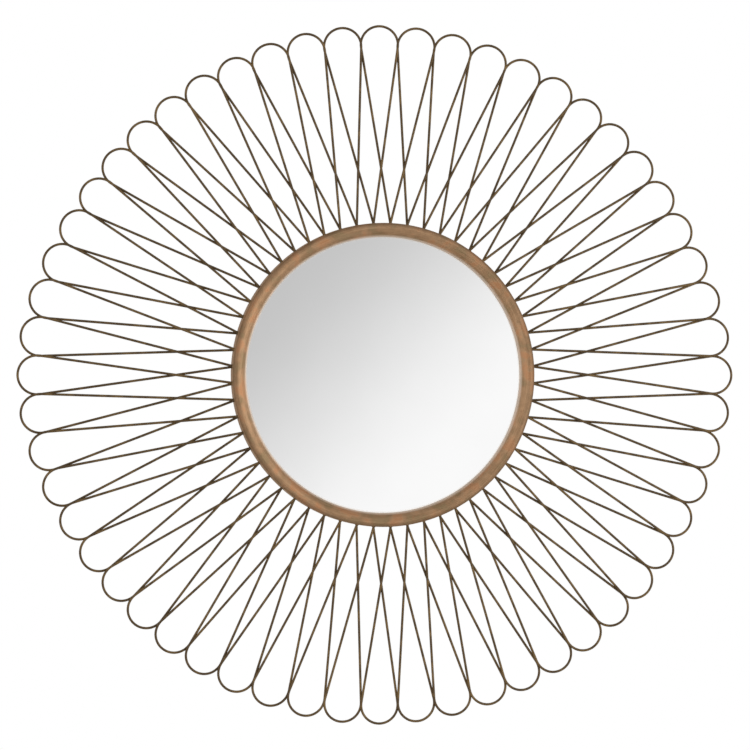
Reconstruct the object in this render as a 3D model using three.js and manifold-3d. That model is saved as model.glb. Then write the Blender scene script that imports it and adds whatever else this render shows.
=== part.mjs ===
// Round wall mirror in a sunburst of bent wire loops. Millimetres, +Z up.
// The mirror faces -Y and hangs on a wall at y = 0. The origin lies on the wall face of its hanger.

import * as THREE from 'three';
import { mergeVertices } from 'three/addons/utils/BufferGeometryUtils.js';
import Module from 'manifold-3d';

const wasm = await Module();
wasm.setup();

// Driving dimensions

const clearance = 0.3; // between pieces that touch

// Wire loops
const loopCount = 56;
const loopLength = 227.6; // frame to the outside of a loop at the top and bottom
const leftStretch = 15; // how much further the loops reach on the left
const leftSharpness = 12; // higher is fewer long loops
const rightStretch = 10; // the same on the right
const rightSharpness = 26;
const burstShift = 3.2; // the ring of outer ends is centred this far left of the mirror's middle
const crossingRise = 64; // frame to the place where a loop's two legs cross
const wireDiameter = 2.8;
const wireSides = 6;
const bendSteps = 8; // facets along the round end of a loop
const footStandoff = 15; // wall to the middle of the wirework at the frame
const endStandoff = 3; // the same at the loops' outer ends, which slope back to the wall

// Frame, a pressed sheet ring that is open at the back
const frameDiameter = 348;
const frameStandoff = 0.5; // wall to the frame's back edge
const faceWidth = 16; // the band that shows from the front
const faceFall = 8; // how far the face falls towards the glass
const shoulderRadius = 4.5; // rounding between outer wall and face
const lipDepth = 3; // short inner wall down to the glass
const sheetThickness = 1.2;

// Mirror glass and backing board
const glassThickness = 3;
const boardThickness = 5;
const boardStandoff = 6.9; // wall to the back of the board, the room for the hanger

// Hanger, a raised steel plate with a keyhole
const hangerSheet = 1.5;
const hangerInset = 22; // edge of the board to the top of the plate
const hangerFaceWidth = 24; // raised part that touches the wall
const hangerFlange = 11; // each side that lies on the board
const hangerBelow = 14; // plate below the origin
const hangerAbove = 9; // plate above the keyhole
const keyholeRise = 7.5; // origin up to the keyhole
const keyholeEntry = 9; // diameter that the screw's head passes
const keyholeSlot = 4.5; // width that the screw's neck fits
const keyholeTravel = 11; // middle of the entry up to the middle of the slot's round end

// Derived sizes

const boardFront = boardStandoff + boardThickness;
const glassBack = boardFront + clearance;
const glassFront = glassBack + glassThickness;
const lipBack = glassFront + clearance;
const frameFront = lipBack + lipDepth + faceFall;
const frameRadius = frameDiameter / 2;
const openingRadius = frameRadius - faceWidth;
const insideRadius = frameRadius - sheetThickness - clearance * 2; // of the glass and the board
const loopReach = frameRadius + loopLength;
const crossingRadius = frameRadius + crossingRise;
const wireRadius = wireDiameter / 2;
const layerOffset = (wireDiameter + clearance) / 2; // crossing wires pass one before the other
const halfPitch = Math.PI / loopCount;
const slope = Math.asin((footStandoff - endStandoff) / loopLength);
// The back leg's foot tilts towards the frame by this much, so the feet stop that much sooner.
const footGap = clearance + (layerOffset + wireRadius) * Math.sin(slope);
const entryMiddle = keyholeRise + keyholeEntry / 2;
const slotMiddle = entryMiddle + keyholeTravel;
const hangerTop = slotMiddle + keyholeSlot / 2 + hangerAbove;
const originRise = insideRadius - hangerInset - hangerTop; // mirror's axis up to the origin

// Materials

const finish = (color, roughness, metalness) =>
  new THREE.MeshStandardMaterial({ color, roughness, metalness });
const bronzePaint = finish('#9c7550', 0.42, 0.75);
const wirePaint = finish('#6b5a4a', 0.45, 0.75);
const silvered = finish('#e6e9ea', 0.03, 1.0);
const hardboard = finish('#5b4a3a', 0.85, 0.0);
const zinc = finish('#a9abad', 0.4, 0.9);

// Helpers

const piece = (name, geometry, material) => {
  const mesh = new THREE.Mesh(geometry, material);
  mesh.name = name;
  return mesh;
};

// A section turned about the mirror's axis. Its points are a distance from the axis and a depth off
// the wall. Its facets meet near the feet of the loops.
function turned(section) {
  const geometry = new THREE.LatheGeometry(section, loopCount, halfPitch);
  geometry.rotateZ(Math.PI);
  return geometry;
}

function disc(radius, back, front) {
  return turned([
    new THREE.Vector2(0, back),
    new THREE.Vector2(radius, back),
    new THREE.Vector2(radius, front),
    new THREE.Vector2(0, front),
  ]);
}

function toSolid(geometry) {
  geometry.deleteAttribute('normal');
  geometry.deleteAttribute('uv');
  const merged = mergeVertices(geometry, 1e-4);
  return new wasm.Manifold(
    new wasm.Mesh({
      numProp: 3,
      vertProperties: new Float32Array(merged.attributes.position.array),
      triVerts: new Uint32Array(merged.index.array),
    }),
  );
}

function toGeometry(solid) {
  const mesh = solid.getMesh();
  const geometry = new THREE.BufferGeometry();
  geometry.setAttribute('position', new THREE.BufferAttribute(mesh.vertProperties, 3));
  geometry.setIndex(new THREE.BufferAttribute(mesh.triVerts, 1));
  return geometry;
}

// Wire loops

// How far a loop's middle line reaches from the middle of the outer ends, by its direction.
function reachAt(angle) {
  const side = Math.cos(angle);
  const stretch = side < 0 ? leftStretch : rightStretch;
  const sharpness = side < 0 ? leftSharpness : rightSharpness;
  return loopReach - wireRadius + stretch * Math.abs(side) ** sharpness;
}

// The wire's middle line in the loop's own frame: X outward from the mirror's axis, Y to the side
// and Z off the wall. It starts at the foot on the +Y side in the front layer, crosses to the -Y
// side, goes round the end into the back layer and crosses again to the foot on the -Y side.
class LoopLine extends THREE.Curve {
  constructor(reach) {
    super();
    this.steps = bendSteps + 2;
    // Neighbouring loops lie side to side, so the round end fills the pitch.
    this.endMiddle = reach / (1 + Math.sin(halfPitch));
    this.endRadius = reach - this.endMiddle;
    this.lean = Math.asin(this.endRadius / (this.endMiddle - crossingRadius));
    // A leg's line passes the axis at this distance, and its square end stops short of the frame.
    const passing = crossingRadius * Math.sin(this.lean);
    const footRadius = frameRadius + footGap + (wireRadius * passing) / frameRadius;
    const inward = crossingRadius * Math.cos(this.lean) - Math.sqrt(footRadius ** 2 - passing ** 2);
    this.footOut = crossingRadius - inward * Math.cos(this.lean);
    this.footSide = inward * Math.sin(this.lean);
  }

  // Points are spaced by step and not by length, so that a straight leg takes one step.
  getUtoTmapping(u) {
    return u;
  }

  getPoint(t, target = new THREE.Vector3()) {
    const step = t * this.steps;
    const around = THREE.MathUtils.clamp((step - 1) / bendSteps, 0, 1) * 2 - 1;
    const turn = around * (Math.PI / 2 + this.lean);
    const depth = -layerOffset * Math.sin((around * Math.PI) / 2);
    const foot = new THREE.Vector3(this.footOut, around < 0 ? this.footSide : -this.footSide, depth);
    const downLeg = Math.max(1 - step, step - 1 - bendSteps, 0);
    target.set(
      this.endMiddle + this.endRadius * Math.cos(turn),
      this.endRadius * Math.sin(turn),
      depth,
    );
    return target.lerp(foot, downLeg);
  }
}

const wireSection = new THREE.Shape(
  Array.from({ length: wireSides }, (_, side) => {
    const turn = (side * 2 * Math.PI) / wireSides;
    return new THREE.Vector2(wireRadius * Math.cos(turn), wireRadius * Math.sin(turn));
  }),
);

function wireLoop(index) {
  const angle = index * 2 * halfPitch;
  const end = new THREE.Vector2(Math.cos(angle), Math.sin(angle)).multiplyScalar(reachAt(angle));
  end.x -= burstShift;
  const line = new LoopLine(end.length());
  const geometry = new THREE.ExtrudeGeometry(wireSection, {
    steps: line.steps,
    extrudePath: line,
    bevelEnabled: false,
  });
  geometry.translate(-frameRadius, 0, 0).rotateY(slope).translate(frameRadius, 0, footStandoff);
  geometry.rotateZ(end.angle()).rotateX(Math.PI / 2);
  return piece(`wire_loop_${String(index + 1).padStart(2, '0')}`, geometry, wirePaint);
}

// Frame

// One side of the frame's sheet, inset from the side that shows. It runs from the back edge up the
// outer wall, round the shoulder, over the convex face and down the lip.
function frameLine(inset, shoulderSteps, faceSteps) {
  const outer = frameRadius - inset;
  const inner = openingRadius + inset;
  const front = frameFront - inset;
  const rounding = shoulderRadius - inset;
  const crest = outer - rounding;
  const points = [new THREE.Vector2(outer, frameStandoff)];
  for (let i = 0; i <= shoulderSteps; i += 1) {
    const turn = ((i / shoulderSteps) * Math.PI) / 2;
    points.push(new THREE.Vector2(
      crest + rounding * Math.cos(turn),
      front - rounding + rounding * Math.sin(turn),
    ));
  }
  // The face leaves the shoulder level and steepens towards the lip, as a parabola.
  for (let i = 1; i <= faceSteps; i += 1) {
    const share = i / faceSteps;
    points.push(new THREE.Vector2(
      THREE.MathUtils.lerp(crest, inner, share),
      front - faceFall * share ** 2,
    ));
  }
  points.push(new THREE.Vector2(inner, lipBack));
  return points;
}

function mirrorFrame() {
  const shown = frameLine(0, 3, 4);
  const hidden = frameLine(sheetThickness, 1, 2).reverse();
  return piece('mirror_frame', turned([...shown, ...hidden, shown[0].clone()]), bronzePaint);
}

// Hanger

function hangerPlate() {
  const face = hangerFaceWidth / 2;
  const edge = face + hangerFlange;
  const flangeFront = clearance - boardStandoff;
  const flangeBack = flangeFront + hangerSheet;
  // Section seen from above: a flange on the board at each side, and the raised face on the wall.
  const section = new THREE.Shape([
    new THREE.Vector2(-edge, flangeFront),
    new THREE.Vector2(-face + hangerSheet, flangeFront),
    new THREE.Vector2(-face + hangerSheet, -hangerSheet),
    new THREE.Vector2(face - hangerSheet, -hangerSheet),
    new THREE.Vector2(face - hangerSheet, flangeFront),
    new THREE.Vector2(edge, flangeFront),
    new THREE.Vector2(edge, flangeBack),
    new THREE.Vector2(face, flangeBack),
    new THREE.Vector2(face, 0),
    new THREE.Vector2(-face, 0),
    new THREE.Vector2(-face, flangeBack),
    new THREE.Vector2(-edge, flangeBack),
  ]);
  const height = hangerBelow + hangerTop;
  const plate = new THREE.ExtrudeGeometry(section, { depth: height, bevelEnabled: false });
  plate.translate(0, 0, -hangerBelow);

  // Keyhole seen from the wall: a round entry with a narrower slot above it.
  const entry = keyholeEntry / 2;
  const slot = keyholeSlot / 2;
  const join = Math.asin(slot / entry);
  const keyhole = new THREE.Shape();
  keyhole.absarc(0, entryMiddle, entry, Math.PI / 2 + join, Math.PI * 2.5 - join, false);
  keyhole.absarc(0, slotMiddle, slot, 0, Math.PI, false);
  const cutter = new THREE.ExtrudeGeometry(keyhole, {
    depth: hangerSheet * 3,
    bevelEnabled: false,
    curveSegments: 10,
  });
  cutter.rotateX(Math.PI / 2).translate(0, hangerSheet, 0);
  return piece('hanger_plate', toGeometry(toSolid(plate).subtract(toSolid(cutter))), zinc);
}

// Assembly

const mirror = new THREE.Group();
const aboutAxis = new THREE.Group();
aboutAxis.position.z = -originRise;
mirror.add(aboutAxis, hangerPlate());
aboutAxis.add(
  mirrorFrame(),
  piece('mirror_glass', disc(insideRadius, glassBack, glassFront), silvered),
  piece('backing_board', disc(insideRadius, boardStandoff, boardFront), hardboard),
);
for (let index = 0; index < loopCount; index += 1) {
  aboutAxis.add(wireLoop(index));
}

export default mirror;
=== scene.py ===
# %% [markdown]
# A round wall mirror in a sunburst of bent wire
#
# The real object is a flat round mirror in a pressed metal ring. Loops of round steel wire stand all
# around the ring like petals. Each loop is one wire: its two legs cross on the way in, and its two
# ends are welded to the ring. A plate with a keyhole on the back hangs it on one screw.
#
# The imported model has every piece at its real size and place, but with few facets. This lesson loads
# it as a fixed frame, models the round pieces again with fine surfaces, and gives each piece the
# finish of the real one. Lengths are metres, the mirror faces -Y, +Z is up and the wall is at y = 0.

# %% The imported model
import math

import bpy
from mathutils import Matrix, Vector


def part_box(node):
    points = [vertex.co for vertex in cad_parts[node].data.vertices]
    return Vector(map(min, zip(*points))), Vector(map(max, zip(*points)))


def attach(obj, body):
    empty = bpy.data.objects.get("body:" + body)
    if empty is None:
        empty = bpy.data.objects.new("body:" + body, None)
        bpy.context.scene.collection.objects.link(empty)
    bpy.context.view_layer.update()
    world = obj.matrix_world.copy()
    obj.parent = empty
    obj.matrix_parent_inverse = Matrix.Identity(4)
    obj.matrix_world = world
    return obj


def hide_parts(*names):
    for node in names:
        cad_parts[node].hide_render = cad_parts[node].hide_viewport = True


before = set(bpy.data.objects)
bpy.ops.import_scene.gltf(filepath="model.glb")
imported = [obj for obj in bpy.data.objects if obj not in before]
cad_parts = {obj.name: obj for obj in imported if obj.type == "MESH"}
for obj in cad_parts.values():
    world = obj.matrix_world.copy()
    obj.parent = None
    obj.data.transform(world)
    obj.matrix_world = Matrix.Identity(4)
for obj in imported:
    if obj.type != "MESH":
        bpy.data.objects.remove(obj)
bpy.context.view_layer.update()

MM = 0.001
MERGE_GAP = 0.01 * MM

ring_low, ring_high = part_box("mirror_frame")
axis = Vector((0, 0, (ring_low.z + ring_high.z) / 2))
print("nodes", len(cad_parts), "axis", [round(value / MM, 2) for value in axis])

# %% [markdown]
# Working as by hand
#
# An operator acts on everything that is selected, and the loaded nodes are selected at first. So each
# new piece starts with nothing selected. A finished piece has its object at the origin and its place
# in its mesh, as the loaded nodes do, so that a pattern that reads Object coordinates stays put.

# %% Starting and finishing a piece
def deselect():
    bpy.ops.object.select_all(action="DESELECT")


def only(piece):
    """Makes this piece the one that operators act on."""
    deselect()
    piece.select_set(True)
    bpy.context.view_layer.objects.active = piece
    return piece


def named(name):
    """Names the piece that an operator has just added, and puts its place into its mesh."""
    piece = only(bpy.context.active_object)
    piece.name = name
    piece.data.name = name
    bpy.ops.object.transform_apply(location=True, rotation=True, scale=True)
    return piece


def copied(pattern, name):
    """A copy of a piece, with a name and a mesh of its own."""
    copy = pattern.copy()
    copy.data = pattern.data.copy()
    copy.name = name
    copy.data.name = name
    bpy.context.collection.objects.link(copy)
    return copy


def smooth(piece, degrees):
    """Shades the piece smooth, apart from edges that are sharper than this."""
    only(piece)
    bpy.ops.object.shade_smooth_by_angle(angle=math.radians(degrees))


def fit(piece, slot, *nodes):
    """Makes a finished piece ride on the object, in place of loaded nodes."""
    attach(piece, "root")
    if nodes:
        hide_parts(*nodes)


# %% [markdown]
# The ring's shape
#
# The ring is pressed from steel sheet. Seen in section it rises from its back edge up a straight outer
# wall, turns over a rounded shoulder, falls in a convex face towards the glass and ends in a short
# lip. It could be a torus that is reshaped, but a sheet ring has one section all the way round. So the
# section is drawn point by point, as a turner draws a template, and spun about the mirror's axis.

# %% The ring's section
LOOPS = 56
HALF_PITCH = math.pi / LOOPS
FACE_WIDTH = 16 * MM
FACE_FALL = 8 * MM
SHOULDER = 4.5 * MM
LIP_DEPTH = 3 * MM
SHEET = 1.2 * MM

# The loaded ring has a facet for each loop, and its corners lie on the true circle.
RING_RADIUS = (ring_high.x - ring_low.x) / 2 / math.cos(HALF_PITCH)
OPENING_RADIUS = RING_RADIUS - FACE_WIDTH
RING_BACK = ring_high.y
RING_FRONT = ring_low.y
LIP_BACK = RING_FRONT + FACE_FALL + LIP_DEPTH


def section_side(inset, shoulder_steps, face_steps):
    """One side of the sheet as points of (distance from the axis, y), from the back edge to the lip."""
    outer = RING_RADIUS - inset
    inner = OPENING_RADIUS + inset
    front = RING_FRONT + inset
    rounding = SHOULDER - inset
    crest = outer - rounding
    points = [(outer, RING_BACK)]
    for step in range(shoulder_steps + 1):
        turn = math.pi / 2 * step / shoulder_steps
        points.append((crest + rounding * math.cos(turn), front + rounding * (1 - math.sin(turn))))
    for step in range(1, face_steps + 1):
        share = step / face_steps
        points.append((crest + (inner - crest) * share, front + FACE_FALL * share**2))
    points.append((inner, LIP_BACK))
    return points


ring_section = section_side(0, 8, 12) + section_side(SHEET, 5, 6)[::-1]
print("ring radius", round(RING_RADIUS / MM, 2), "points in its section", len(ring_section))

# %% [markdown]
# The section starts as a plane that is merged to one point, and each further point is extruded from
# the last one. A bevel then rounds the edges that a press rounds, at the lip and the back edge.

# %% Spinning the ring
SPIN_STEPS = 224
PRESS_ROUNDING = 0.5 * MM


def spun_ring(name, section):
    """Draws a closed section of (distance, y) points above the axis and spins it all the way round."""
    places = [Vector((0, y, axis.z + distance)) for distance, y in section]
    deselect()
    bpy.ops.mesh.primitive_plane_add(size=MM, location=places[0])
    piece = named(name)
    bpy.ops.object.mode_set(mode="EDIT")
    bpy.ops.mesh.merge(type="CENTER")
    for here, there in zip(places, places[1:] + places[:1]):
        bpy.ops.mesh.extrude_vertices_move(TRANSFORM_OT_translate={"value": there - here})
    bpy.ops.mesh.select_all(action="SELECT")
    bpy.ops.mesh.remove_doubles(threshold=MERGE_GAP)
    bpy.ops.mesh.spin(steps=SPIN_STEPS, angle=2 * math.pi, center=axis, axis=(0, 1, 0))
    bpy.ops.mesh.select_all(action="SELECT")
    bpy.ops.mesh.remove_doubles(threshold=MERGE_GAP)
    bpy.ops.mesh.normals_make_consistent(inside=False)
    bpy.ops.object.mode_set(mode="OBJECT")
    return piece


def rounded(piece, width, segments, degrees):
    """Rounds the edges that are sharper than this many degrees."""
    only(piece)
    bevel = piece.modifiers.new("rounding", "BEVEL")
    bevel.width = width
    bevel.segments = segments
    bevel.limit_method = "ANGLE"
    bevel.angle_limit = math.radians(degrees)
    bpy.ops.object.modifier_apply(modifier=bevel.name)


ring = spun_ring("ring", ring_section)
rounded(ring, PRESS_ROUNDING, 2, 40)
smooth(ring, 30)
fit(ring, "bronze_paint", "mirror_frame")
print("ring faces", len(ring.data.polygons))

# %% [markdown]
# A wire loop
#
# Each loop is a straight piece of round wire, bent once about a round former. Its legs lean inwards,
# so they cross, and one passes just in front of the other. It could be a curve with a round bevel, but
# extruding and spinning a small circle is what the bending does: straight leg, round bend, straight
# leg. The loops at the left and right reach a little further out, so a loop is modelled for each
# reach that comes up, and copied to its places.
#
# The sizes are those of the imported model, but a wire here is round and its feet sink into the ring.

# %% Sizes of the wirework
WIRE_RADIUS = 1.4 * MM
WIRE_SIDES = 12
BEND_STEPS = 28
LAYER = 1.55 * MM
LOOP_LENGTH = 227.6 * MM
LEFT_STRETCH = 15 * MM
LEFT_SHARPNESS = 12
RIGHT_STRETCH = 10 * MM
RIGHT_SHARPNESS = 26
BURST_SHIFT = 3.2 * MM
REACH = RING_RADIUS + LOOP_LENGTH - WIRE_RADIUS
CROSSING_RISE = 64 * MM
CROSSING = RING_RADIUS + CROSSING_RISE
FOOT_Y = -15 * MM
END_Y = -3 * MM
SLOPE = math.asin((END_Y - FOOT_Y) / LOOP_LENGTH)
FOOT_IN_WALL = 0.4 * MM


def reach_at(angle):
    """How far a loop's middle line reaches from the middle of the outer ends, by its direction."""
    side = math.cos(angle)
    if side < 0:
        return REACH + LEFT_STRETCH * abs(side) ** LEFT_SHARPNESS
    return REACH + RIGHT_STRETCH * side**RIGHT_SHARPNESS


print("loops reach", [round(reach_at(math.radians(way)) / MM, 1) for way in (0, 90, 180)], "mm")

# %% [markdown]
# Weld beads
#
# The wires are joined by small welds: at the crossing, where neighbours touch, and at the ring. A weld
# is a smooth low blob that wets both wires, so a squashed sphere half sunk into them shows all that
# the eye can find. It is modelled once, and each copy is placed, turned and sized.

# %% One weld bead
CROSSING_BEAD = (4.0 * MM, 1.5 * MM, 1.4 * MM)
SIDE_BEAD = (2.9 * MM, 1.4 * MM, 1.3 * MM)
FOOT_BEAD = (1.7 * MM, 2.1 * MM, 2.1 * MM)

deselect()
bpy.ops.mesh.primitive_uv_sphere_add(segments=10, ring_count=6, radius=1)
bead_pattern = named("bead_pattern")
smooth(bead_pattern, 60)


def bead(place, size, turn=0.0):
    """A weld bead at a place in the loop's own frame, turned about Y."""
    copy = copied(bead_pattern, "bead")
    scale = Matrix.Diagonal((*size, 1))
    copy.data.transform(Matrix.Translation(place) @ Matrix.Rotation(turn, 4, "Y") @ scale)
    return copy


print("bead faces", len(bead_pattern.data.polygons))

# %% [markdown]
# Bending one loop
#
# The loop lies in its own frame, with X outwards from the mirror's axis and Z to the side. Neighbouring
# loops lie side to side, so the round end fills the pitch, and the legs lean in to cross at a set
# distance. From there each leg runs on until it meets the ring's outer wall.

# %% Where a loop's wire runs
def loop_line(reach):
    """The middle and radius of the round end, the lean of the legs and the front leg's foot."""
    end_middle = reach / (1 + math.sin(HALF_PITCH))
    end_radius = reach - end_middle
    lean = math.asin(end_radius / (end_middle - CROSSING))
    passing = CROSSING * math.sin(lean)
    foot_radius = RING_RADIUS - FOOT_IN_WALL
    inward = CROSSING * math.cos(lean) - math.sqrt(foot_radius**2 - passing**2)
    foot = Vector((CROSSING - inward * math.cos(lean), 0, inward * math.sin(lean)))
    return end_middle, end_radius, lean, foot


# %% [markdown]
# A circle as thick as the wire starts at the front leg's foot. It is extruded along the leg, spun
# about the middle of the round end and extruded down the other leg. After the bending, a short step
# in code moves the front leg forwards and the back leg backwards, with an even slope round the bend.

# %% Bending the wire
def bent_wire(end_middle, end_radius, lean, foot):
    bend = Vector((end_middle - end_radius * math.sin(lean), 0, -end_radius * math.cos(lean)))
    leg = bend - foot
    deselect()
    bpy.ops.mesh.primitive_circle_add(
        vertices=WIRE_SIDES,
        radius=WIRE_RADIUS,
        location=foot,
        rotation=leg.to_track_quat("Z", "Y").to_euler(),
    )
    wire = named("loop_pattern")
    bpy.ops.object.mode_set(mode="EDIT")
    bpy.ops.mesh.extrude_region_move(TRANSFORM_OT_translate={"value": leg})
    bpy.ops.mesh.spin(
        steps=BEND_STEPS,
        angle=math.pi + 2 * lean,
        center=(end_middle, 0, 0),
        axis=(0, 1, 0),
    )
    bpy.ops.mesh.extrude_region_move(TRANSFORM_OT_translate={"value": (-leg.x, 0, leg.z)})
    bpy.ops.mesh.select_all(action="SELECT")
    bpy.ops.mesh.fill_holes(sides=WIRE_SIDES)
    bpy.ops.mesh.normals_make_consistent(inside=False)
    bpy.ops.object.mode_set(mode="OBJECT")
    for point in wire.data.vertices:
        turn = math.atan2(point.co.z, point.co.x - end_middle)
        around = max(-1.0, min(1.0, turn / (math.pi / 2 + lean)))
        if point.co.x < CROSSING:
            around = -1.0 if point.co.z > 0 else 1.0
        point.co.y += LAYER * math.sin(around * math.pi / 2)
    smooth(wire, 50)
    return wire


# %% [markdown]
# The beads are set where the legs cross, where the neighbour touches and at the two feet. They are
# joined to the wire, because a weld makes one piece of what it holds.

# %% One loop with its beads
def welded_loop(reach):
    end_middle, end_radius, lean, foot = loop_line(reach)
    loop = bent_wire(end_middle, end_radius, lean, foot)
    touch = end_middle * math.cos(HALF_PITCH)
    side_place = Vector((touch * math.cos(HALF_PITCH), 0, touch * math.sin(HALF_PITCH)))
    beads = [
        bead(Vector((CROSSING, 0, 0)), CROSSING_BEAD),
        bead(side_place, SIDE_BEAD, -HALF_PITCH),
    ]
    for side, layer in ((1, -LAYER), (-1, LAYER)):
        foot_place = Vector((foot.x, layer, side * foot.z))
        beads.append(bead(foot_place, FOOT_BEAD, -side * HALF_PITCH))
    deselect()
    for piece in [*beads, loop]:
        piece.select_set(True)
    bpy.context.view_layer.objects.active = loop
    bpy.ops.object.join()
    return loop


# %% [markdown]
# The sunburst
#
# Loop 1 points to the right, and they go round counterclockwise as the mirror is seen from the front.
# The outer ends stand about a point a little left of the mirror's middle, so nearly every loop has a
# length of its own. The wirework slopes back to the wall, so each loop is tilted about its feet before
# it is turned to its place.

# %% Copying the loops into place
patterns = {}
loops = []
for index in range(LOOPS):
    angle = index * 2 * HALF_PITCH
    end = Vector((math.cos(angle), 0, math.sin(angle))) * reach_at(angle)
    end.x -= BURST_SHIFT
    key = round(end.length / MM, 1)
    if key not in patterns:
        patterns[key] = welded_loop(end.length)
    loop = copied(patterns[key], f"loop_{index + 1:02d}")
    sloped = Matrix.Translation((RING_RADIUS, FOOT_Y, 0)) @ Matrix.Rotation(SLOPE, 4, "Z")
    outward = Matrix.Translation(axis) @ Matrix.Rotation(-math.atan2(end.z, end.x), 4, "Y")
    loop.data.transform(outward @ sloped @ Matrix.Translation((-RING_RADIUS, 0, 0)))
    fit(loop, "wire_paint", f"wire_loop_{index + 1:02d}")
    loops.append(loop)
for pattern in [bead_pattern, *patterns.values()]:
    bpy.data.objects.remove(pattern)
print("loops", len(loops), "of", len(patterns), "lengths; faces each", len(loops[0].data.polygons))

# %% [markdown]
# The board behind the glass
#
# The back of the glass is covered by a disc of pressed hardboard. A disc is a cylinder with its edge
# slightly rounded by sanding.

# %% Backing board
BOARD_ROUNDING = 0.6 * MM

board_low, board_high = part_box("backing_board")
board_radius = (board_high.x - board_low.x) / 2 / math.cos(HALF_PITCH)
deselect()
bpy.ops.mesh.primitive_cylinder_add(
    vertices=SPIN_STEPS // 2,
    radius=board_radius,
    depth=board_high.y - board_low.y,
    location=(0, (board_low.y + board_high.y) / 2, axis.z),
    rotation=(math.pi / 2, 0, 0),
)
board = named("board")
rounded(board, BOARD_ROUNDING, 2, 40)
smooth(board, 30)
fit(board, "hardboard", "backing_board")
print("board", round((board_high.y - board_low.y) / MM, 2), "mm thick")

# %% [markdown]
# The hanger
#
# The hanger is stamped from steel strip: a raised middle with a keyhole, and a flange at each side.
# The loaded node has the true shape with sharp edges, so a copy of it is merged to one skin and its
# edges are rounded as a stamping's are.

# %% Hanger plate
STAMP_ROUNDING = 0.35 * MM

deselect()
hanger = copied(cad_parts["hanger_plate"], "hanger")
for key in [key for key in hanger.keys() if key.startswith("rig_")]:
    del hanger[key]
hanger.parent = None
only(hanger)
bpy.ops.object.mode_set(mode="EDIT")
bpy.ops.mesh.select_all(action="SELECT")
bpy.ops.mesh.remove_doubles(threshold=MERGE_GAP)
bpy.ops.mesh.dissolve_limited(angle_limit=math.radians(1))
bpy.ops.object.mode_set(mode="OBJECT")
rounded(hanger, STAMP_ROUNDING, 2, 40)
smooth(hanger, 40)
fit(hanger, "zinc_steel", "hanger_plate")
print("hanger faces", len(hanger.data.polygons))

# %% [markdown]
# Four rivets hold the flanges to the board. A rivet's head is a low dome: a sphere squashed along its
# axis, with its lower half cut off by a bisect.

# %% Rivets
RIVET_RADIUS = 2.6 * MM
RIVET_RISE = 1.4 * MM
FLANGE_BACK = -5.1 * MM
RIVET_X = 17.5 * MM
RIVET_HEIGHTS = (-7 * MM, 27 * MM)

deselect()
bpy.ops.mesh.primitive_uv_sphere_add(
    segments=24,
    ring_count=12,
    radius=RIVET_RADIUS,
    rotation=(math.pi / 2, 0, 0),
)
rivet_pattern = named("rivet_pattern")
bpy.ops.object.mode_set(mode="EDIT")
bpy.ops.mesh.select_all(action="SELECT")
bpy.ops.mesh.bisect(plane_co=(0, 0, 0), plane_no=(0, -1, 0), use_fill=True, clear_outer=True)
bpy.ops.object.mode_set(mode="OBJECT")
rivet_pattern.data.transform(Matrix.Diagonal((1, RIVET_RISE / RIVET_RADIUS, 1, 1)))
smooth(rivet_pattern, 50)
rivets = []
for side in (-1, 1):
    for height in RIVET_HEIGHTS:
        rivet = copied(rivet_pattern, f"rivet_{len(rivets) + 1}")
        rivet.data.transform(Matrix.Translation((side * RIVET_X, FLANGE_BACK, height)))
        fit(rivet, "zinc_steel")
        rivets.append(rivet)
bpy.data.objects.remove(rivet_pattern)
print("rivets", len(rivets))

# %% [markdown]
# Materials
#
# Every finish is a small node tree. Colours are written as sRGB hex and turned to linear light by one
# function, and one function adds any node with its settings and links.

# %% Colours and nodes
MIX_A = 6
MIX_B = 7
MIX_OUT = 2


def linear(colour):
    """An sRGB hex colour as linear red, green, blue and alpha."""
    parts = [int(colour[i : i + 2], 16) / 255 for i in (1, 3, 5)]
    return (*[c / 12.92 if c <= 0.04045 else ((c + 0.055) / 1.055) ** 2.4 for c in parts], 1)


def add_node(tree, kind, inputs=None, **settings):
    """Adds a node. An input is given a value, or the output of another node."""
    node = tree.nodes.new(kind)
    for name, value in settings.items():
        setattr(node, name, value)
    for name, value in (inputs or {}).items():
        if isinstance(value, bpy.types.NodeSocket):
            tree.links.new(value, node.inputs[name])
        else:
            node.inputs[name].default_value = value
    return node


def new_material(name, **settings):
    """A material of this name, its node tree and its shader with even values set on it."""
    material = bpy.data.materials.new(name)
    material.use_nodes = True
    shader = material.node_tree.nodes["Principled BSDF"]
    for setting, value in settings.items():
        shader.inputs[setting.replace("_", " ")].default_value = value
    return material, material.node_tree, shader


def paint(material, *pieces):
    """Gives the pieces this material."""
    for piece in pieces:
        piece.data.materials.clear()
        piece.data.materials.append(material)


print("white is", linear("#ffffff"))

# %% [markdown]
# The ring and the glass are round, so parts of their finish follow the circle. For those, the place on
# the piece is taken from the mirror's axis: the way out, its length and the depth.

# %% Way out from the axis
def out_from_axis(tree, place):
    """The way out from the mirror's axis to a place, its length and its depth, as outputs."""
    from_axis = add_node(tree, "ShaderNodeMapping", {"Vector": place, "Location": -axis}).outputs[0]
    parts = add_node(tree, "ShaderNodeSeparateXYZ", {"Vector": from_axis}).outputs
    way = add_node(tree, "ShaderNodeCombineXYZ", {"X": parts["X"], "Z": parts["Z"]}).outputs[0]
    length = add_node(tree, "ShaderNodeVectorMath", {0: way}, operation="LENGTH").outputs["Value"]
    return way, length, parts["Y"]


# %% [markdown]
# Brushed antique bronze paint, on the ring
#
# The ring has a brown base coat with gold bronze paint brushed over it around the ring. To the eye
# that is a warm satin metal with fine streaks that follow the ring, and soft patches of gold, olive
# and orange about 16 mm wide. The streaks need a pattern that follows the circle without a seam, so
# the noise is read at the direction from the axis, which closes on itself, and at the distance from
# the axis, which is drawn out far more.

# %% Ring paint
STREAK_LENGTH = 30 * MM
STREAK_WIDTH = 0.9 * MM
PATCH_SIZE = 16 * MM
TINT_SIZE = 16 * MM
GRAIN_SIZE = 1.2 * MM

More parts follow.
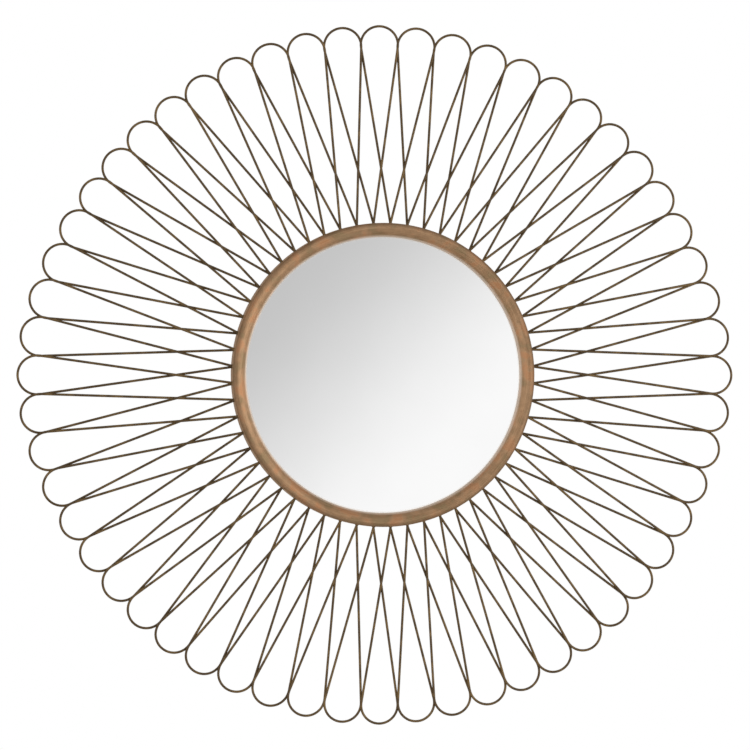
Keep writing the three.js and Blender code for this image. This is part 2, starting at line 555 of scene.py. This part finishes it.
ring_paint, tree, shader = new_material("brushed_antique_bronze_paint")
place = add_node(tree, "ShaderNodeTexCoord").outputs["Object"]
way, distance, depth = out_from_axis(tree, place)
direction = add_node(tree, "ShaderNodeVectorMath", {0: way}, operation="NORMALIZE").outputs[0]
around = add_node(
    tree,
    "ShaderNodeVectorMath",
    {0: direction, "Scale": RING_RADIUS / STREAK_LENGTH},
    operation="SCALE",
).outputs[0]
across = add_node(tree, "ShaderNodeMath", {0: distance, 1: depth}, operation="SUBTRACT").outputs[0]
across = add_node(
    tree, "ShaderNodeMath", {0: across, 1: 1 / STREAK_WIDTH}, operation="MULTIPLY"
).outputs[0]
across = add_node(tree, "ShaderNodeCombineXYZ", {"Y": across}).outputs[0]
along_brush = add_node(tree, "ShaderNodeVectorMath", {0: around, 1: across}).outputs[0]
streaks = add_node(
    tree, "ShaderNodeTexNoise", {"Vector": along_brush, "Scale": 1, "Detail": 3}
).outputs[0]
patches = add_node(
    tree, "ShaderNodeTexNoise", {"Vector": place, "Scale": 1 / PATCH_SIZE, "Detail": 4}
).outputs[0]
tints = add_node(
    tree, "ShaderNodeTexNoise", {"Vector": place, "Scale": 1 / TINT_SIZE, "Detail": 3}
).outputs[0]
grain = add_node(
    tree, "ShaderNodeTexNoise", {"Vector": place, "Scale": 1 / GRAIN_SIZE, "Detail": 2}
).outputs[0]
print("patterns on the ring", len(tree.nodes), "nodes")

# %% [markdown]
# The colours are laid over each other as the paint is: patches of two golds, orange and olive tints,
# pale brush streaks, and dark grain where the base coat shows through.

# %% Ring paint colours
patch_share = add_node(
    tree,
    "ShaderNodeMapRange",
    {"Value": patches, "From Min": 0.38, "From Max": 0.62},
    interpolation_type="SMOOTHSTEP",
).outputs[0]
colour = add_node(
    tree,
    "ShaderNodeMix",
    {0: patch_share, MIX_A: linear("#957150"), MIX_B: linear("#b08b67")},
    data_type="RGBA",
).outputs[MIX_OUT]
for low, high, tint in ((0.53, 0.64, "#bb7648"), (0.47, 0.36, "#8a7c58")):
    tint_share = add_node(
        tree,
        "ShaderNodeMapRange",
        {"Value": tints, "From Min": low, "From Max": high, "To Max": 0.5},
        interpolation_type="SMOOTHSTEP",
    ).outputs[0]
    colour = add_node(
        tree,
        "ShaderNodeMix",
        {0: tint_share, MIX_A: colour, MIX_B: linear(tint)},
        data_type="RGBA",
    ).outputs[MIX_OUT]
streak_share = add_node(
    tree,
    "ShaderNodeMapRange",
    {"Value": streaks, "From Min": 0.35, "From Max": 0.7, "To Max": 0.5},
).outputs[0]
colour = add_node(
    tree,
    "ShaderNodeMix",
    {0: streak_share, MIX_A: colour, MIX_B: linear("#c9a683")},
    data_type="RGBA",
).outputs[MIX_OUT]
grain_share = add_node(
    tree, "ShaderNodeMapRange", {"Value": grain, "From Min": 0.55, "From Max": 0.75, "To Max": 0.25}
).outputs[0]
colour = add_node(
    tree,
    "ShaderNodeMix",
    {0: grain_share, MIX_A: colour, MIX_B: linear("#6a4429")},
    data_type="RGBA",
).outputs[MIX_OUT]
print("ring colours", len(tree.nodes), "nodes")

# %% [markdown]
# The rounded shoulder is painted darker than the face, a painted shade, and is duller. The outer wall
# is painted a paler gold, a painted light that lifts it out of that shade, and the lip beside the glass
# is painted pale, a painted highlight, with little metal in its paint. Each is a zone of the distance
# from the axis, which fades in softly.

# %% Ring paint zones and finish
FACE_METAL = 0.7
LIP_METAL = 0.3
SHOULDER_DULLNESS = 0.4
ZONES = (
    # The shoulder: a painted shade, darker than the face.
    ("shoulder", RING_RADIUS - 6 * MM, RING_RADIUS - 2 * MM, 0.4, "#6f553f"),
    # The outer wall: a painted light, a paler gold laid over the shoulder's painted shade.
    ("wall", RING_RADIUS - 0.8 * MM, RING_RADIUS - 0.1 * MM, 0.8, "#c29b74"),
    # The lip: a painted highlight, pale beside the glass.
    ("lip", OPENING_RADIUS + 2.9 * MM, OPENING_RADIUS + 0.3 * MM, 0.65, "#f0dfcd"),
)
zone_shares = {}
for zone, start, full, most, zone_colour in ZONES:
    zone_shares[zone] = add_node(
        tree,
        "ShaderNodeMapRange",
        {"Value": distance, "From Min": start, "From Max": full, "To Max": most},
        interpolation_type="SMOOTHSTEP",
    ).outputs[0]
    colour = add_node(
        tree,
        "ShaderNodeMix",
        {0: zone_shares[zone], MIX_A: colour, MIX_B: linear(zone_colour)},
        data_type="RGBA",
    ).outputs[MIX_OUT]
metal = add_node(
    tree, "ShaderNodeMapRange", {"Value": zone_shares["lip"], "To Min": FACE_METAL, "To Max": LIP_METAL}
).outputs[0]
roughness = add_node(
    tree, "ShaderNodeMapRange", {"Value": streaks, "To Min": 0.36, "To Max": 0.5}
).outputs[0]
roughness = add_node(
    tree,
    "ShaderNodeMath",
    {0: zone_shares["shoulder"], 1: SHOULDER_DULLNESS, 2: roughness},
    operation="MULTIPLY_ADD",
).outputs[0]
bump = add_node(
    tree, "ShaderNodeBump", {"Height": streaks, "Strength": 0.25, "Distance": 0.05 * MM}
).outputs[0]
tree.links.new(colour, shader.inputs["Base Color"])
tree.links.new(metal, shader.inputs["Metallic"])
tree.links.new(roughness, shader.inputs["Roughness"])
tree.links.new(bump, shader.inputs["Normal"])
paint(ring_paint, ring)
print("ring paint nodes", len(tree.nodes))

# %% [markdown]
# Dark bronze paint, on the wire
#
# The wire is steel, sprayed dark bronze and wiped with a little gold, which stays on in short worn
# stretches about 12 mm long. To the eye it is a thin satin brown line with a warm glint.

# %% Wire paint
WORN_LENGTH = 12 * MM
SPECKLE_SIZE = 1.6 * MM

wire_paint, tree, shader = new_material("dark_bronze_sprayed_paint", Metallic=0.6)
place = add_node(tree, "ShaderNodeTexCoord").outputs["Object"]
worn = add_node(
    tree, "ShaderNodeTexNoise", {"Vector": place, "Scale": 1 / WORN_LENGTH, "Detail": 3}
).outputs[0]
speckle = add_node(
    tree, "ShaderNodeTexNoise", {"Vector": place, "Scale": 1 / SPECKLE_SIZE, "Detail": 2}
).outputs[0]
worn_share = add_node(
    tree,
    "ShaderNodeMapRange",
    {"Value": worn, "From Min": 0.42, "From Max": 0.66},
    interpolation_type="SMOOTHSTEP",
).outputs[0]
colour = add_node(
    tree,
    "ShaderNodeMix",
    {0: worn_share, MIX_A: linear("#5a472d"), MIX_B: linear("#7a613c")},
    data_type="RGBA",
).outputs[MIX_OUT]
speckle_share = add_node(
    tree, "ShaderNodeMapRange", {"Value": speckle, "From Min": 0.55, "From Max": 0.75, "To Max": 0.4}
).outputs[0]
colour = add_node(
    tree,
    "ShaderNodeMix",
    {0: speckle_share, MIX_A: colour, MIX_B: linear("#40321f")},
    data_type="RGBA",
).outputs[MIX_OUT]
roughness = add_node(
    tree, "ShaderNodeMapRange", {"Value": worn, "To Min": 0.5, "To Max": 0.34}
).outputs[0]
tree.links.new(colour, shader.inputs["Base Color"])
tree.links.new(roughness, shader.inputs["Roughness"])
paint(wire_paint, *loops)
print("wire paint nodes", len(tree.nodes))

# %% [markdown]
# Silvered float glass
#
# A mirror is float glass with a silver coat behind it. The silver is a metal that reflects almost all
# light, and the glass adds a second, fainter reflection, which a clear coat stands for. A thin haze of
# dust in soft patches about 60 mm wide keeps it from looking like a hole in the ring. From 2 mm inside
# the ring's opening outwards the glass is paler, warmer and less metallic, and shows as a pale line.

# %% Mirror
HAZE_SIZE = 60 * MM
# These set a pale, warm, less metallic band along the edge of the glass, from this far inside the
# ring's opening.
EDGE_LINE_WIDTH = 2 * MM
EDGE_LINE_SOFTNESS = 0.8 * MM
EDGE_LINE_SILVER = 0.75

mirror_glass, tree, shader = new_material(
    "silvered_float_glass", Coat_Weight=0.5, Coat_Roughness=0.0
)
place = add_node(tree, "ShaderNodeTexCoord").outputs["Object"]
haze = add_node(
    tree, "ShaderNodeTexNoise", {"Vector": place, "Scale": 1 / HAZE_SIZE, "Detail": 2}
).outputs[0]
colour = add_node(
    tree,
    "ShaderNodeMix",
    {0: haze, MIX_A: linear("#fbfbfb"), MIX_B: linear("#f7f7f7")},
    data_type="RGBA",
).outputs[MIX_OUT]
roughness = add_node(
    tree, "ShaderNodeMapRange", {"Value": haze, "To Min": 0.0, "To Max": 0.02}
).outputs[0]
distance = out_from_axis(tree, place)[1]
silver = add_node(
    tree,
    "ShaderNodeMapRange",
    {
        "Value": distance,
        "From Min": OPENING_RADIUS - EDGE_LINE_WIDTH,
        "From Max": OPENING_RADIUS - EDGE_LINE_WIDTH + EDGE_LINE_SOFTNESS,
        "To Min": 1.0,
        "To Max": EDGE_LINE_SILVER,
    },
).outputs[0]
colour = add_node(
    tree,
    "ShaderNodeMix",
    {0: silver, MIX_A: linear("#fff1e2"), MIX_B: colour},
    data_type="RGBA",
).outputs[MIX_OUT]
tree.links.new(silver, shader.inputs["Metallic"])
tree.links.new(colour, shader.inputs["Base Color"])
tree.links.new(roughness, shader.inputs["Roughness"])
paint(mirror_glass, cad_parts["mirror_glass"])
print("mirror nodes", len(tree.nodes))

# %% [markdown]
# Pressed hardboard
#
# Hardboard is wood fibre pressed on a wire screen, which leaves a net of small dents on its back. Two
# crossed waves make the net at about 1.5 mm, and noise mixes the light and dark fibres.

# %% Hardboard
SCREEN_PITCH = 1.5 * MM
FIBRE_SIZE = 2.5 * MM
# A wave texture repeats at this length while its scale is 1.
WAVE_PERIOD = 2 * math.pi / 20

hardboard, tree, shader = new_material("pressed_hardboard", Roughness=0.85)
place = add_node(tree, "ShaderNodeTexCoord").outputs["Object"]
fibres = add_node(
    tree,
    "ShaderNodeTexNoise",
    {"Vector": place, "Scale": 1 / FIBRE_SIZE, "Detail": 5, "Distortion": 1.5},
).outputs[0]
colour = add_node(
    tree,
    "ShaderNodeMix",
    {0: fibres, MIX_A: linear("#4a3524"), MIX_B: linear("#8a6a4c")},
    data_type="RGBA",
).outputs[MIX_OUT]
nets = []
for crossways in ("X", "Z"):
    nets.append(
        add_node(
            tree,
            "ShaderNodeTexWave",
            {"Vector": place, "Scale": WAVE_PERIOD / SCREEN_PITCH},
            bands_direction=crossways,
        ).outputs[1]
    )
net = add_node(tree, "ShaderNodeMath", {0: nets[0], 1: nets[1]}, operation="MULTIPLY").outputs[0]
bump = add_node(
    tree, "ShaderNodeBump", {"Height": net, "Strength": 0.5, "Distance": 0.2 * MM}
).outputs[0]
tree.links.new(colour, shader.inputs["Base Color"])
tree.links.new(bump, shader.inputs["Normal"])
paint(hardboard, board)
print("hardboard nodes", len(tree.nodes))

# %% [markdown]
# Zinc plated steel
#
# Zinc plate is a bright bluish grey metal. It dulls in small crystal patches, which the cells of a
# Voronoi pattern stand for, about 4 mm wide, each with its own shade and roughness.

# %% Zinc
CRYSTAL_SIZE = 4 * MM

zinc, tree, shader = new_material("zinc_plated_steel", Metallic=1.0)
place = add_node(tree, "ShaderNodeTexCoord").outputs["Object"]
crystals = add_node(
    tree, "ShaderNodeTexVoronoi", {"Vector": place, "Scale": 1 / CRYSTAL_SIZE}
).outputs["Color"]
shade = add_node(tree, "ShaderNodeSeparateColor", {"Color": crystals}).outputs[0]
colour = add_node(
    tree,
    "ShaderNodeMix",
    {0: shade, MIX_A: linear("#9fa3a8"), MIX_B: linear("#c2c5c8")},
    data_type="RGBA",
).outputs[MIX_OUT]
roughness = add_node(
    tree, "ShaderNodeMapRange", {"Value": shade, "To Min": 0.28, "To Max": 0.45}
).outputs[0]
tree.links.new(colour, shader.inputs["Base Color"])
tree.links.new(roughness, shader.inputs["Roughness"])
paint(zinc, hanger, *rivets)
print("zinc nodes", len(tree.nodes))

# %% [markdown]
# The camera
#
# The picture is taken from far off with a long lens, a few degrees from the left, level with the
# mirror's middle: the ring's inner edge sits a little to one side of its outer edge.

# %% Camera
CAMERA_AZIMUTH = math.radians(-7.0)
CAMERA_DISTANCE = 7.2
PICTURE_WIDTH = 858.75 * MM
SENSOR = 36.0
AIM = Vector((-9.4 * MM, FOOT_Y, -0.1 * MM))

target = axis + AIM
back = Vector((math.sin(CAMERA_AZIMUTH), -math.cos(CAMERA_AZIMUTH), 0))

bpy.ops.object.camera_add(location=target + back * CAMERA_DISTANCE)
camera = bpy.context.active_object
camera.rotation_euler = (-back).to_track_quat("-Z", "Y").to_euler()
camera.data.sensor_width = SENSOR
camera.data.lens = SENSOR * CAMERA_DISTANCE / PICTURE_WIDTH
camera.data.clip_end = 100
bpy.context.scene.camera = camera
bpy.context.scene.view_settings.view_transform = "Standard"
print("lens", round(camera.data.lens, 1))

# %% [markdown]
# The studio
#
# The mirror hangs before plain white, so the camera sees a white world, while the object is lit by a
# softer grey one. The floor is pale and lies below the picture from the photo's place. A mirror shows
# what stands before it, so a card stands behind the camera, dimmer at one corner, and the glass shows
# its soft change from grey to white. The camera never sees the card itself, only its reflection.

# %% World and floor
WORLD_LIGHT = 0.45
FLOOR_DROP = 1.6
FLOOR_RADIUS = 12
MOTTLE_SIZE = 1 / 3

world = bpy.data.worlds.new("white_studio")
bpy.context.scene.world = world
world.use_nodes = True
tree = world.node_tree
seen = add_node(tree, "ShaderNodeLightPath").outputs["Is Camera Ray"]
strength = add_node(
    tree, "ShaderNodeMapRange", {"Value": seen, "To Min": WORLD_LIGHT, "To Max": 1.0}
).outputs[0]
background = tree.nodes["Background"]
background.inputs["Color"].default_value = (1, 1, 1, 1)
tree.links.new(strength, background.inputs["Strength"])

deselect()
bpy.ops.mesh.primitive_circle_add(
    vertices=96, radius=FLOOR_RADIUS, fill_type="NGON", location=(0, 0, -FLOOR_DROP)
)
floor = named("floor")
floor_paint, tree, shader = new_material("pale_studio_floor", Roughness=0.6)
place = add_node(tree, "ShaderNodeTexCoord").outputs["Object"]
mottle = add_node(tree, "ShaderNodeTexNoise", {"Vector": place, "Scale": 1 / MOTTLE_SIZE}).outputs[0]
colour = add_node(
    tree,
    "ShaderNodeMix",
    {0: mottle, MIX_A: linear("#eeedeb"), MIX_B: linear("#f3f2f0")},
    data_type="RGBA",
).outputs[MIX_OUT]
tree.links.new(colour, shader.inputs["Base Color"])
paint(floor_paint, floor)
print("floor", FLOOR_DROP, "m below the hanger")

# %% [markdown]
# The card's brightness follows one slanted direction across it, from dim at the upper left, as seen
# in the glass, to bright at the lower right. A smooth step gives it the flat ends of a real falloff.

# %% Card for the glass
CARD_Y = -9.0
CARD_SIZE = 9.0
CARD_DIM = 0.575
CARD_BRIGHT = 1.0
# The change starts and ends at these shares of the glass's radius, as seen on the card.
DIM_END = -1.1
BRIGHT_END = 0.8

# The camera sees the card as if it were straight behind the glass, so lines of sight run on to it.
glass_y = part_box("mirror_glass")[0].y
camera_reach = glass_y - camera.location.y
stretch = (camera_reach + glass_y - CARD_Y) / camera_reach
card_x = camera.location.x + (axis.x - camera.location.x) * stretch
card_span = OPENING_RADIUS * stretch

deselect()
bpy.ops.mesh.primitive_plane_add(
    size=CARD_SIZE, location=(0, CARD_Y, 0), rotation=(-math.pi / 2, 0, 0)
)
card = named("card")
card_light = bpy.data.materials.new("graded_card")
card_light.use_nodes = True
tree = card_light.node_tree
tree.nodes.remove(tree.nodes["Principled BSDF"])
place = add_node(tree, "ShaderNodeTexCoord").outputs["Object"]
centre = add_node(
    tree, "ShaderNodeMapping", {"Vector": place, "Location": (-card_x, 0, -axis.z)}
).outputs[0]
slant = add_node(
    tree,
    "ShaderNodeVectorMath",
    {0: centre, 1: (math.sqrt(0.5), 0, -math.sqrt(0.5))},
    operation="DOT_PRODUCT",
).outputs["Value"]
shine = add_node(
    tree,
    "ShaderNodeMapRange",
    {
        "Value": slant,
        "From Min": DIM_END * card_span,
        "From Max": BRIGHT_END * card_span,
        "To Min": CARD_DIM,
        "To Max": CARD_BRIGHT,
    },
    interpolation_type="SMOOTHSTEP",
).outputs[0]
emission = add_node(tree, "ShaderNodeEmission", {"Strength": shine})
tree.links.new(emission.outputs[0], tree.nodes["Material Output"].inputs["Surface"])
paint(card_light, card)
card.visible_camera = False
print("the glass shows the card from", round(card_x - card_span, 2), "to", round(card_x + card_span, 2))

# %% [markdown]
# Two broad softboxes light the ring from the sides: a stronger one from the right, which brightens the
# left of the ring, since its face slopes inwards, and a weaker one from the left. A faint one from
# above lifts the tops of the wires.

# %% Softboxes
SOFTBOXES = (
    ("key", (2.3, -1.7, 0.0), (3.0, 3.6), 39),
    ("fill", (-2.3, -1.7, 0.0), (3.0, 3.6), 23),
    ("top", (0.0, -1.8, 2.2), (2.4, 1.2), 4),
)

for name, place, size, power in SOFTBOXES:
    bpy.ops.object.light_add(type="AREA", location=place)
    light = bpy.context.active_object
    light.name = name
    light.rotation_euler = (axis - Vector(place)).to_track_quat("-Z", "Y").to_euler()
    light.data.shape = "RECTANGLE"
    light.data.size, light.data.size_y = size
    light.data.energy = power
    light.visible_camera = False
print("softboxes", len(SOFTBOXES))
